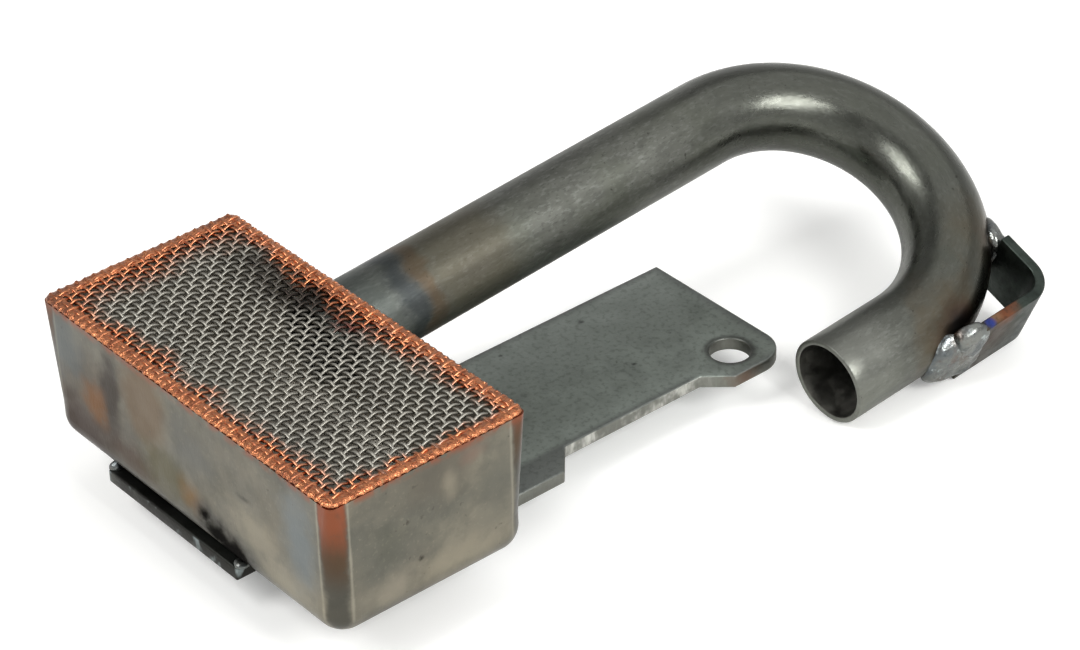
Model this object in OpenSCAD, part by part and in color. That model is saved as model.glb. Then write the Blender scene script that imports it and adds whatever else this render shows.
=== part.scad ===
// Oil pickup: a strainer box with a wire screen, a bent suction tube and a mounting plate, all welded together.
// Millimetres. The origin is the bolt hole's centre on the plate's top face, +Z points out of the screen
// and +Y runs from the box towards the tube's bend.

/* [Strainer box] */
// Outside length of the box
box_l = 93.4; // [84:0.2:110]
// Outside width of the box
box_w = 46.6; // [40:0.2:60]
// Height of the box, floor to rim
box_h = 31.7; // [28:0.1:45]
// Sheet thickness of the box
box_t = 1.5; // [1:0.1:2.2]
// Outside radius of the upright corners
corner_r = 5.6; // [5.6:0.1:9]
// Outside radius round the floor
floor_r = 5.4; // [3:0.1:5.4]

/* [Screen] */
// Wire diameter of the screen
wire_d = 0.7; // [0.4:0.05:1]
// How far the screen's edge stays inside the box's outside
screen_set_in = 0.75; // [0.3:0.05:0.9]
// Width of the solid border that the braze holds
screen_border = 2.6; // [2.2:0.1:5]
// Gaps along the screen
gap_cols = 15; // [8:1:15]
// Gaps across the screen
gap_rows = 8; // [4:1:8]
// Width of the bars between the gaps
bar_w = 1.5; // [1:0.1:2]

/* [Rim braze] */
// Radius of the braze bead round the rim
braze_r = 2; // [1.8:0.05:2.4]
// How far the bead's middle lies inside the screen's edge
braze_in = 0.9; // [0.5:0.05:1]
// Plan radius of the bead's path at the corners
braze_turn_r = 2.5; // [2.5:0.1:4]

/* [Pickup tube] */
// Outside diameter of the tube
tube_od = 19.05; // [16:0.05:20]
// Wall thickness of the tube
tube_t = 1.2; // [0.8:0.1:2]
// Middle of the tube at the rear wall, from the box's middle
tube_x = -12.7; // [-30:0.1:30]
// Middle of the tube at the rear wall, below the box's rim
tube_below_rim = 11.9; // [11.8:0.1:14]
// Rise of the long leg from the rear wall
tube_pitch = 4.4; // [0:0.1:6]
// Sideways lean of the long leg
tube_lean = 0.8; // [-3:0.1:3]
// Length of the long leg from the rear wall to the bend
leg_l = 100; // [80:0.5:140]
// Radius of the bend along the tube's middle
bend_r = 32; // [28:0.2:45]
// Drop of the bend, turned about the long leg
bend_drop = 24.5; // [0:0.5:30]
// Straight length of the outlet leg
outlet_l = 21.4; // [15:0.2:40]
// Length of tube inside the box, from the rear wall's outside
tube_in = 6; // [3:0.5:12]
// Gap round the tube in the rear wall
tube_gap = 0.1; // [0.05:0.05:0.3]

/* [Mounting plate] */
// Plate thickness
plate_t = 3; // [2:0.1:5]
// Width of the front tab and of the rear arm
plate_w = 43.2; // [36:0.2:50]
// Middle of the front tab, from the box's middle
tab_x = -7; // [-15:0.5:5]
// Middle of the rear arm, from the box's middle
arm_x = 10.9; // [0:0.1:15]
// Reach of the rear arm behind the box
arm_l = 83.5; // [70:0.5:110]
// Length of the slanted stretch under the box
jog_l = 27; // [15:0.5:33]
// Start of the notch in the arm's edge, behind the box
notch_from = 20.6; // [10:0.2:30]
// Depth of the notch
notch_d = 6.3; // [3:0.1:8]
// Length of the slope at each end of the notch
notch_slope = 5.5; // [3:0.1:8]
// Set-back of the lug's edge from the arm's edge
lug_set_back = 1.5; // [0:0.1:2.5]
// Radius of the lug's outer corner
lug_r = 7; // [3:0.1:8.5]
// Length of the lug from the end of the arm
lug_l = 15.5; // [13:0.5:18]
// Diameter of the bolt hole
hole_d = 8.7; // [6:0.1:10]
// Bolt hole's middle, from the end of the arm
hole_end = 10; // [8:0.1:11]
// Bolt hole's middle, in from the arm's edge
hole_side = 9.2; // [8.5:0.1:12]

/* [Strap] */
// Width of the flat bar
strap_w = 16; // [10:0.5:20]
// Thickness of the flat bar
strap_t = 2.3; // [1.5:0.1:4]
// Inside radius of the strap's corner
strap_r = 4.4; // [2:0.1:6]
// How far the back leg lies inside the crown of the bend
strap_set_down = 11.3; // [8:0.1:14]
// End of the near leg, measured from the bend's centre line
strap_end = 7.6; // [2:0.1:12]

/* [Welds] */
// Radius of the bead round the tube at the box
tube_weld_r = 2.2; // [1.5:0.1:3]
// Radius of the beads on the strap
strap_weld_r = 3; // [2:0.1:4]
// Radius of the tack welds on the front tab
tack_r = 2.6; // [2:0.1:3.4]
// Hairline left between pieces that are welded or brazed together
seam = 0.03; // [0.01:0.01:0.1]

/* [Hidden] */
$fn = 64;
// Overrun of a cut past the face that it goes through
cut = 1;
// Screen
screen_l = box_l - 2 * screen_set_in;
screen_w = box_w - 2 * screen_set_in;
screen_t = 2 * wire_d;
// Depth that each ridge is sunk in the wall, so that its crest stays below the border's face
ridge_sink = wire_d / 8;
pitch_x = (screen_l - 2 * screen_border + bar_w) / gap_cols;
pitch_y = (screen_w - 2 * screen_border + bar_w) / gap_rows;
// Tube and strap, the strap measured from the bend's centre
tube_r = tube_od / 2;
tube_z = box_h - tube_below_rim;
crown_r = bend_r + tube_r;
strap_inner_x = crown_r + seam;
strap_inner_y = crown_r - strap_set_down;
strap_start = sqrt(pow(crown_r + seam, 2) - pow(strap_inner_y, 2));
// Plate outline, measured from the box's middle
tab_front = -box_w / 2;
arm_end = box_w / 2 + arm_l;
arm_edge = arm_x + plate_w / 2;
notch_x = arm_edge - notch_d;
notch_y = box_w / 2 + notch_from;
lug_x = arm_edge - lug_set_back;
lug_y = arm_end - lug_l;
hole_x = arm_edge - hole_side;
hole_y = arm_end - hole_end;

// Moves what is drawn from the box's middle on the plate's top face into the part's own frame
module in_part() {
    translate([-hole_x, -hole_y, 0]) children();
}

// Sets +Y along the long leg, from the tube's middle on the rear wall's outside
module on_tube() {
    in_part() translate([tube_x, box_w / 2, tube_z]) rotate([tube_pitch, 0, tube_lean]) children();
}

// Sets the origin at the bend's centre, with the bend in the XY plane and the outlet leg on the +X side
module on_bend() {
    on_tube() translate([0, leg_l, 0]) rotate([0, bend_drop, 0]) translate([bend_r, 0, 0]) children();
}

// Rectangle from corner a to corner b, with corner b rounded
module round_corner(a, b, r) {
    difference() {
        translate(a) square(b - a);
        translate(b - [r, r]) difference() {
            square(r + cut);
            circle(r);
        }
    }
}

// Round bar along Z with chamfered ends, as a short weld bead is
module bead(length, r) {
    neck = r / 2;
    half = length / 2;
    rotate_extrude() polygon([
        [0, -half],
        [neck, -half],
        [r, neck - half],
        [r, half - neck],
        [neck, half],
        [0, half]
    ]);
}

// Box section from a corner's axis outwards, hung upside down so that the rounded corner is the floor's
module wall_section() {
    translate([0, box_h]) mirror([0, 1]) difference() {
        round_corner([0, 0], [corner_r, box_h], floor_r);
        round_corner([-cut, -cut], [corner_r - box_t, box_h - box_t], floor_r - box_t);
    }
}

module strainer_box() {
    half_l = box_l / 2 - corner_r;
    half_w = box_w / 2 - corner_r;
    color("#77766b") difference() {
        in_part() union() {
            translate([-half_l, -half_w, 0]) cube([2 * half_l, 2 * half_w, box_t]);
            for (turn = [0, 180]) {
                rotate(turn) translate([half_l, 0, 0]) rotate([90, 0, 0])
                    linear_extrude(2 * half_w, center = true) wall_section();
                rotate(turn + 90) translate([half_w, 0, 0]) rotate([90, 0, 0])
                    linear_extrude(2 * half_l, center = true) wall_section();
                rotate(turn) translate([half_l, half_w, 0]) rotate_extrude(angle = 90) wall_section();
                rotate(turn) translate([-half_l, half_w, 0]) rotate(90) rotate_extrude(angle = 90) wall_section();
            }
        }
        on_tube() rotate([90, 0, 0]) cylinder(r = tube_r + tube_gap, h = 4 * box_t, center = true);
    }
}

// Full block that the screen takes up on the rim
module screen_block(gap) {
    in_part() translate([-screen_l / 2 - gap, -screen_w / 2 - gap, box_h - gap])
        cube([screen_l + 2 * gap, screen_w + 2 * gap, screen_t + 2 * gap]);
}

module screen() {
    first_x = -screen_l / 2 + screen_border;
    first_y = -screen_w / 2 + screen_border;
    mid_z = box_h + screen_t / 2;
    inner_l = screen_l - 2 * screen_border;
    inner_w = screen_w - 2 * screen_border;
    color("#9b988d") union() {
        difference() {
            screen_block(0);
            in_part() translate([first_x, first_y, box_h - cut])
                cube([inner_l, inner_w, screen_t + 2 * cut]);
        }
        in_part() translate([0, 0, mid_z - wire_d / 2]) linear_extrude(wire_d) difference() {
            translate([first_x, first_y]) square([inner_l, inner_w]);
            for (i = [0 : gap_cols - 1], j = [0 : gap_rows - 1])
                translate([first_x + i * pitch_x, first_y + j * pitch_y])
                    square([pitch_x - bar_w, pitch_y - bar_w]);
        }
        in_part() for (i = [1 : gap_cols - 1])
            translate([first_x + i * pitch_x - bar_w / 2, 0, mid_z + wire_d / 2 - ridge_sink])
                wire_ridge(inner_w, 0);
        in_part() for (j = [1 : gap_rows - 1])
            translate([0, first_y + j * pitch_y - bar_w / 2, mid_z - wire_d / 2 + ridge_sink])
                rotate(90) wire_ridge(inner_l, 180);
    }
}

// Half-round ridge along Y, on top of the screen's wall or turned under it
module wire_ridge(length, turn) {
    rotate([90, turn, 0]) linear_extrude(length, center = true) intersection() {
        circle(d = wire_d);
        translate([-wire_d, 0]) square([2 * wire_d, wire_d]);
    }
}

// Half-round section of the braze bead
module braze_section() {
    intersection() {
        circle(braze_r);
        translate([-braze_r, 0]) square([2 * braze_r, braze_r]);
    }
}

module rim_braze() {
    half_l = screen_l / 2 - braze_in;
    half_w = screen_w / 2 - braze_in;
    run_l = 2 * (half_l - braze_turn_r);
    run_w = 2 * (half_w - braze_turn_r);
    color("#c8642f") difference() {
        in_part() translate([0, 0, box_h]) for (turn = [0, 180]) rotate(turn) {
            translate([half_l, 0, 0]) rotate([90, 0, 0]) linear_extrude(run_w, center = true) braze_section();
            rotate(90) translate([half_w, 0, 0]) rotate([90, 0, 0])
                linear_extrude(run_l, center = true) braze_section();
            for (side = [0, 1]) mirror([side, 0, 0]) translate([run_l / 2, run_w / 2, 0])
                rotate_extrude(angle = 90) translate([braze_turn_r, 0]) braze_section();
        }
        screen_block(seam);
    }
}

// Tube of the given radius along the whole route, as a solid rod
module tube_rod(r, inner_end, outer_end) {
    on_bend() {
        translate([-bend_r, 0, 0]) rotate([90, 0, 180]) mirror([0, 0, 1]) cylinder(r = r, h = leg_l + inner_end);
        rotate_extrude(angle = 180) translate([bend_r, 0]) circle(r);
        translate([bend_r, 0, 0]) rotate([90, 0, 0]) cylinder(r = r, h = outlet_l + outer_end);
    }
}

module pickup_tube() {
    color("#5c5d58") difference() {
        tube_rod(tube_r, tube_in, 0);
        tube_rod(tube_r - tube_t, tube_in + cut, cut);
    }
}

module mounting_plate() {
    color("#565a54") in_part() translate([0, 0, -plate_t]) linear_extrude(plate_t) difference() {
        polygon([
            [tab_x - plate_w / 2, tab_front],
            [tab_x + plate_w / 2, tab_front],
            [tab_x + plate_w / 2, -jog_l / 2],
            [arm_edge, jog_l / 2],
            [arm_edge, notch_y],
            [notch_x, notch_y + notch_slope],
            [notch_x, lug_y - notch_slope],
            [lug_x, lug_y],
            [lug_x, arm_end],
            [arm_x - plate_w / 2, arm_end],
            [arm_x - plate_w / 2, jog_l / 2],
            [tab_x - plate_w / 2, -jog_l / 2]
        ]);
        translate([lug_x - lug_r, arm_end - lug_r]) difference() {
            square(lug_r + cut);
            circle(lug_r);
        }
        translate([hole_x, hole_y]) circle(d = hole_d);
    }
}

// Bent bar, made larger all round by gap where a weld is cut to fit it
module strap_bar(gap) {
    on_bend() linear_extrude(strap_w + 2 * gap, center = true) difference() {
        round_corner([strap_start - gap, strap_end - gap],
            [strap_inner_x + strap_t + gap, strap_inner_y + strap_t + gap], strap_r + strap_t + gap);
        round_corner([strap_start - cut, strap_end - cut],
            [strap_inner_x - gap, strap_inner_y - gap], strap_r - gap);
    }
}

module strap() {
    color("#33383a") strap_bar(0);
}

module tube_weld() {
    color("#6f7478") difference() {
        on_tube() rotate([90, 0, 0]) rotate_extrude() translate([tube_r, 0]) circle(tube_weld_r);
        tube_rod(tube_r + seam, 2 * tube_in, 0);
        in_part() translate([-box_l, -box_w / 2, -box_h])
            cube([2 * box_l, box_w + seam, 3 * box_h]);
    }
}

module strap_weld_back() {
    color("#8d949a") difference() {
        on_bend() translate([strap_start, strap_inner_y + strap_t, 0]) bead(strap_w, strap_weld_r);
        tube_rod(tube_r + seam, 0, 0);
        strap_bar(seam);
    }
}

module strap_weld_end() {
    groove_r = 0.7 * strap_weld_r;
    groove_l = 0.8 * strap_w;
    color("#8d949a") difference() {
        on_bend() {
            translate([strap_inner_x, strap_end, 0]) bead(strap_w, strap_weld_r);
            translate([strap_inner_x - groove_r, strap_end + groove_r / 2, strap_w / 2 - groove_r])
                rotate([90, 0, 0]) bead(groove_l, groove_r);
        }
        tube_rod(tube_r + seam, 0, 0);
        strap_bar(seam);
    }
}

// Tack at one end of the front tab, side -1 or 1
module plate_tack(side) {
    color("#8d949a") in_part() difference() {
        translate([tab_x + side * plate_w / 2, tab_front + tack_r, 0]) sphere(tack_r);
        translate([tab_x - plate_w / 2 - seam, tab_front - seam, -plate_t - cut])
            cube([plate_w + 2 * seam, box_w, plate_t + cut + seam]);
        translate([tab_x, tab_front + floor_r, floor_r]) rotate([0, 90, 0])
            cylinder(r = floor_r + seam, h = 2 * plate_w, center = true);
        translate([tab_x - plate_w, tab_front + floor_r, -seam]) cube([2 * plate_w, box_w, 2 * floor_r]);
    }
}

module plate_tack_left() {
    plate_tack(-1);
}

module plate_tack_right() {
    plate_tack(1);
}

strainer_box();
screen();
rim_braze();
pickup_tube();
mounting_plate();
strap();
tube_weld();
strap_weld_back();
strap_weld_end();
plate_tack_left();
plate_tack_right();
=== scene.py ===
"""Studio scene of a welded oil pickup: strainer box, wire screen, copper braze, bent tube, plate, strap and welds.

Lengths are millimetres in the part's own frame until a mesh is finished, and metres from there on.
"""

import logging
import math
from dataclasses import dataclass, field
from enum import Enum
from functools import lru_cache
from typing import Any, Sequence

import bmesh
import bpy
from mathutils import Matrix, Vector, noise


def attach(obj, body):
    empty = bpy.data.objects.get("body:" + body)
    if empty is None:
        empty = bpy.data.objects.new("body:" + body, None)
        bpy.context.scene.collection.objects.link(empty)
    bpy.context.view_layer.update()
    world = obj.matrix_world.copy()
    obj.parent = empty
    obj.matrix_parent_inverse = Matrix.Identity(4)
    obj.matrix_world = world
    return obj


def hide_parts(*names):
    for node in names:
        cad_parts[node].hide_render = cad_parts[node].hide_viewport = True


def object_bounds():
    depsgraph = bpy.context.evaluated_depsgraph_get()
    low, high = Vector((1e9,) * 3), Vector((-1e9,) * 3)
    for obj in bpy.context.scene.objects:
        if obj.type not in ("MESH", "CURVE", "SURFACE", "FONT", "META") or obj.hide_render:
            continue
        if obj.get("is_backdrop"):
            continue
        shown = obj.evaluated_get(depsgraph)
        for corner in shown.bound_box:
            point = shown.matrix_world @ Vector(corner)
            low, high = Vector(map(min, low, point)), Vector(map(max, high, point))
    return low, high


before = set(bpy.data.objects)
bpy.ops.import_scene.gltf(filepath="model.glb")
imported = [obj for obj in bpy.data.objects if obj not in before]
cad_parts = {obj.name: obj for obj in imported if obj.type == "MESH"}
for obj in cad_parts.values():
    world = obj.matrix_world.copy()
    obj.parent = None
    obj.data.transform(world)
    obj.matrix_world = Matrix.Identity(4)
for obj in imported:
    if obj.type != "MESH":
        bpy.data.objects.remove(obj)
log = logging.getLogger("oil_pickup")

MM = 0.001
FLOOR_GAP = 0.2 * MM
# Millimetres within which points count as level.
NEAR = 0.01
# Angle in degrees past which an edge of a drawn or molten piece stays sharp.
ROUND = 80.0
Socket = bpy.types.NodeSocket
Colour = tuple[float, float, float, float]
Point = tuple[float, float, float]


class Slot(Enum):
    """Material slots of the record."""

    BOX = "box_steel"
    WIRE = "screen_wire"
    BRAZE = "copper_braze"
    TUBE = "tube_steel"
    PLATE = "plate_steel"
    STRAP = "strap_steel"
    WELD = "weld_metal"


def linear(code: str) -> Colour:
    """Turns an sRGB hex colour into a linear one.

    Args:
        code: Colour such as "#77766b".

    Returns:
        Linear red, green, blue and an alpha of 1.
    """
    parts = [int(code[i : i + 2], 16) / 255 for i in (1, 3, 5)]
    red, green, blue = (p / 12.92 if p <= 0.04045 else ((p + 0.055) / 1.055) ** 2.4 for p in parts)
    return red, green, blue, 1.0


def add(tree: bpy.types.NodeTree, kind: str, feeds: dict[Any, Any] | None = None, **settings: Any) -> bpy.types.Node:
    """Adds one node with its settings and what feeds its inputs.

    Args:
        tree: Node tree that takes the node.
        kind: Blender's name for the kind of node.
        feeds: Input name or number to the value or socket that feeds it.
        settings: Properties of the node itself.

    Returns:
        The new node.
    """
    node = tree.nodes.new(kind)
    for key, value in settings.items():
        setattr(node, key, value)
    for key, feed in (feeds or {}).items():
        if isinstance(feed, Socket):
            tree.links.new(feed, node.inputs[key])
        else:
            node.inputs[key].default_value = feed
    return node


class Along(Enum):
    """Directions that a span is measured along."""

    X = "along the box"
    Y = "from the box to the bend"
    Z = "up"
    UP = "how far a face looks up"
    RUN = "along the tube from the rear wall"


class Hold(Enum):
    """How several masks make one, by the arithmetic that joins them."""

    ALL = "MULTIPLY"
    ANY = "MAXIMUM"


@dataclass(frozen=True)
class Span:
    """A soft step along a direction or over a value: nothing at its start, full at its end."""

    along: Along | Socket
    start: float
    end: float

    def mask(self, s: "Surface") -> Socket:
        """Makes the span's mask.

        Args:
            s: Surface that carries it.

        Returns:
            Mask from 0 to 1.
        """
        value = s.along[self.along] if isinstance(self.along, Along) else self.along
        feeds = {"Value": value, "From Min": self.start, "From Max": self.end}
        return add(s.tree, "ShaderNodeMapRange", feeds, interpolation_type="SMOOTHSTEP").outputs[0]


@dataclass(frozen=True)
class Clouds:
    """Cloudy patches: their size in millimetres, and the noise values that they start and are full at.

    Stretch is how much finer they are along each axis, detail the octaves of finer noise, and seed picks
    another pattern. Unbent clouds follow the tube, and crisp ones come on by a second soft step. Grain that
    is finer in life is drawn no smaller than 0.35 mm, about two pixels of the render, so that it shows.
    """

    size: float
    low: float = 0.4
    high: float = 0.65
    stretch: Point = (1.0, 1.0, 1.0)
    detail: float = 3.0
    seed: float = 0.0
    unbent: bool = False
    crisp: bool = False

    def mask(self, s: "Surface") -> Socket:
        """Makes the clouds' mask.

        Args:
            s: Surface that carries them.

        Returns:
            Mask from 0 to 1.
        """
        feeds = {0: s.unbent if self.unbent else s.place, 1: tuple(share / self.size for share in self.stretch)}
        spread = add(s.tree, "ShaderNodeVectorMath", feeds, operation="MULTIPLY").outputs[0]
        feeds = {"Vector": spread, "W": self.seed, "Scale": 1.0, "Detail": self.detail, "Roughness": 0.55}
        cloud = add(s.tree, "ShaderNodeTexNoise", feeds, noise_dimensions="4D").outputs[0]
        mask = Span(cloud, self.low, self.high).mask(s)
        return Span(mask, 0, 1).mask(s) if self.crisp else mask


@dataclass(frozen=True)
class Patch:
    """A soft round patch: its centre, how far it is full, and where it is gone, in millimetres.

    Squash is how much narrower it is along each axis, and 0 lets it run on. Its edge is ragged by some
    millimetres, by noise of the size of fray.
    """

    centre: Point
    full: float
    gone: float
    squash: Point = (1.0, 1.0, 1.0)
    ragged: float = 0.0
    fray: float = 6.0

    def mask(self, s: "Surface") -> Socket:
        """Makes the patch's mask.

        Args:
            s: Surface that carries it.

        Returns:
            Mask from 0 to 1.
        """
        off = add(s.tree, "ShaderNodeVectorMath", {0: s.place, 1: self.centre}, operation="SUBTRACT")
        off = add(s.tree, "ShaderNodeVectorMath", {0: off.outputs[0], 1: self.squash}, operation="MULTIPLY")
        reach = add(s.tree, "ShaderNodeVectorMath", {0: off.outputs[0]}, operation="LENGTH").outputs["Value"]
        if self.ragged:
            feeds = {0: s.frayed(self.fray), 1: self.ragged, 2: reach}
            reach = add(s.tree, "ShaderNodeMath", feeds, operation="MULTIPLY_ADD").outputs[0]
        return Span(reach, self.gone, self.full).mask(s)


# Places on the part, and all that a mask can be made of.
Place = Span | Clouds | Patch
Where = Place | Socket | float


@dataclass(frozen=True)
class Tint:
    """A colour that lies over what is below it: its hex code, how much it covers, and where."""

    code: str
    strength: float
    where: Place


class Surface:
    """Node tree of one finish, with places and sizes in millimetres on the part."""

    def __init__(self, name: str) -> None:
        """Makes the material with its shader and the part's own coordinates.

        Args:
            name: Name of the finish.
        """
        self.material = bpy.data.materials.new(name)
        self.material.use_nodes = True
        self.tree = self.material.node_tree
        self.shader = self.tree.nodes["Principled BSDF"]
        coords = add(self.tree, "ShaderNodeTexCoord")
        grown = {0: coords.outputs["Object"], 1: (1 / MM,) * 3}
        self.place = add(self.tree, "ShaderNodeVectorMath", grown, operation="MULTIPLY").outputs[0]
        self.unbent = self.place
        self.normal = coords.outputs["Normal"]
        x, y, z = add(self.tree, "ShaderNodeSeparateXYZ", {0: self.place}).outputs
        up = add(self.tree, "ShaderNodeSeparateXYZ", {0: self.normal}).outputs[2]
        self.along: dict[Along, Socket] = {Along.X: x, Along.Y: y, Along.Z: z, Along.UP: up}
        self.frays: dict[float, Socket] = {}

    def frayed(self, size: float) -> Socket:
        """Gives the noise that frays the edges of patches, made once for each size.

        Args:
            size: Size of the noise in millimetres.

        Returns:
            Mask from 0 to 1.
        """
        if size not in self.frays:
            self.frays[size] = Clouds(size, 0.25, 0.75, detail=4, seed=size).mask(self)
        return self.frays[size]

    def mask(self, *wheres: Where, hold: Hold = Hold.ALL) -> Socket:
        """Makes one mask of several.

        Args:
            wheres: Places on the part, masks made before, or plain strengths.
            hold: Whether all of them have to hold or any of them.

        Returns:
            Mask from 0 to 1.
        """
        found = [where.mask(self) if isinstance(where, Place) else where for where in wheres]
        result = found[0]
        for other in found[1:]:
            result = add(self.tree, "ShaderNodeMath", {0: result, 1: other}, operation=hold.value).outputs[0]
        return result

    def layer(self, under: Socket | str, over: Socket | str, strength: float, *wheres: Where) -> Socket:
        """Lays one colour over another.

        Args:
            under: Colour below, as a socket or a hex code.
            over: Colour on top, as a socket or a hex code.
            strength: How much it covers.
            wheres: Where it lies, all of which have to hold.

        Returns:
            The mixed colour.
        """
        below, above = (linear(colour) if isinstance(colour, str) else colour for colour in (under, over))
        share = self.mask(*wheres, strength) if strength < 1 else self.mask(*wheres)
        return add(self.tree, "ShaderNodeMix", {0: share, 6: below, 7: above}, data_type="RGBA").outputs[2]

    def stain(self, colour: Socket | str, tints: Sequence[Tint]) -> Socket:
        """Lays tints over a colour, one after the other.

        Args:
            colour: Colour below, as a socket or a hex code.
            tints: Tints in order.

        Returns:
            The mixed colour.
        """
        for tint in tints:
            colour = self.layer(colour, tint.code, tint.strength, tint.where)
        return colour

    def wander(self, clouds: Clouds, reach: float, *alongs: Along) -> None:
        """Shifts what is measured along some directions to and fro, so that edges there waver.

        Args:
            clouds: Clouds that do the shifting.
            reach: Largest shift either way, in millimetres.
            alongs: The directions.
        """
        feeds = {0: self.mask(clouds), 1: 2 * reach, 2: -reach}
        shift = add(self.tree, "ShaderNodeMath", feeds, operation="MULTIPLY_ADD").outputs[0]
        for along in alongs:
            moved = add(self.tree, "ShaderNodeMath", {0: self.along[along], 1: shift}, operation="ADD")
            self.along[along] = moved.outputs[0]

    def dent(self, where: Where, depth: float, strength: float) -> None:
        """Adds relief of a depth in millimetres to the shader's normal.

        Args:
            where: What stands up.
            depth: Its height.
            strength: How much of it shows.
        """
        feeds = {"Height": self.mask(where), "Distance": depth * MM, "Strength": strength}
        if self.shader.inputs["Normal"].is_linked:
            feeds["Normal"] = self.shader.inputs["Normal"].links[0].from_socket
        relief = add(self.tree, "ShaderNodeBump", feeds)
        self.tree.links.new(relief.outputs[0], self.shader.inputs["Normal"])

    def sheen(self, base: float, *changes: tuple[Where, float]) -> Socket:
        """Makes the roughness.

        Args:
            base: Roughness where nothing changes it.
            changes: Places, and what each adds to it.

        Returns:
            The roughness.
        """
        rough: Socket | float = base
        for where, change in changes:
            feeds = {0: self.mask(where), 1: change, 2: rough}
            rough = add(self.tree, "ShaderNodeMath", feeds, operation="MULTIPLY_ADD").outputs[0]
        return rough

    def metal(self, colour: Socket, rough: Socket, soot_and_shade: Socket | None = None) -> bpy.types.Material:
        """Feeds a bare metal shader.

        Args:
            colour: Colour of the metal.
            rough: Its roughness.
            soot_and_shade: Where a matt dark film hides the metal, as soot and as painted shade.

        Returns:
            The finished material.
        """
        self.shader.inputs["Metallic"].default_value = 1.0
        self.tree.links.new(colour, self.shader.inputs["Base Color"])
        self.tree.links.new(rough, self.shader.inputs["Roughness"])
        if soot_and_shade:
            bare = self.mask(Span(soot_and_shade, 1, 0))
            self.tree.links.new(bare, self.shader.inputs["Metallic"])
            gloss = self.shader.inputs["Specular IOR Level"]
            self.tree.links.new(self.mask(bare, gloss.default_value), gloss)
        return self.material


# Outer faces of the box's front and right walls.
FRONT, RIGHT = -120.1, 23.4


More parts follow.
